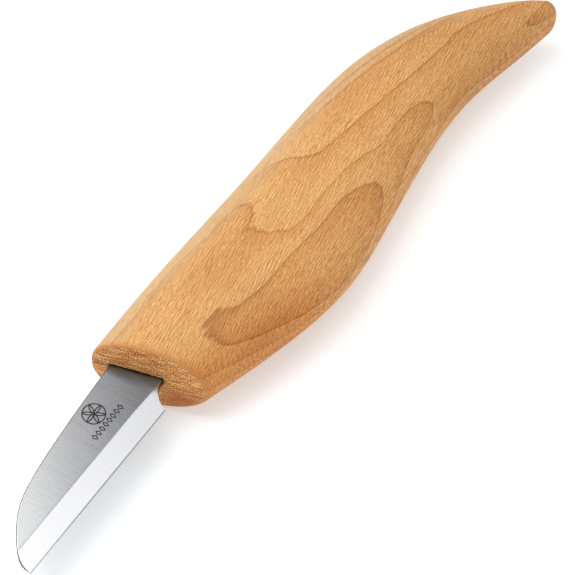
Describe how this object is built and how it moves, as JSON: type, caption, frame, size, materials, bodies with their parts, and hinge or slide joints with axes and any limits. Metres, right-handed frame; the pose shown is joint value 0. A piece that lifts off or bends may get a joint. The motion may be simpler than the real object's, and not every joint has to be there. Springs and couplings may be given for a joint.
{
  "type": "whittling knife",
  "caption": "Fixed-blade whittling knife: a straight-edged bevelled steel blade glued into a curved one-piece wooden handle.",
  "frame": {"origin": "under the middle of the knife's box, on the face that it rests on when it lies on its side", "axes": "+X from the blade's tip to the butt of the handle, +Y from the cutting edge to the spine, +Z across the knife's thickness, up when it lies on its side"},
  "size_m": [0.168, 0.0316, 0.02],
  "materials": {
    "steel": "satin flats with a polished bevel",
    "hardwood": "oiled ring-porous hardwood",
    "epoxy": "cured epoxy, brown from the wood's oil"
  },
  "bodies": {
    "root": {"blade": "steel", "handle": "hardwood", "tang_adhesive": "epoxy"}
  },
  "joints": []
}
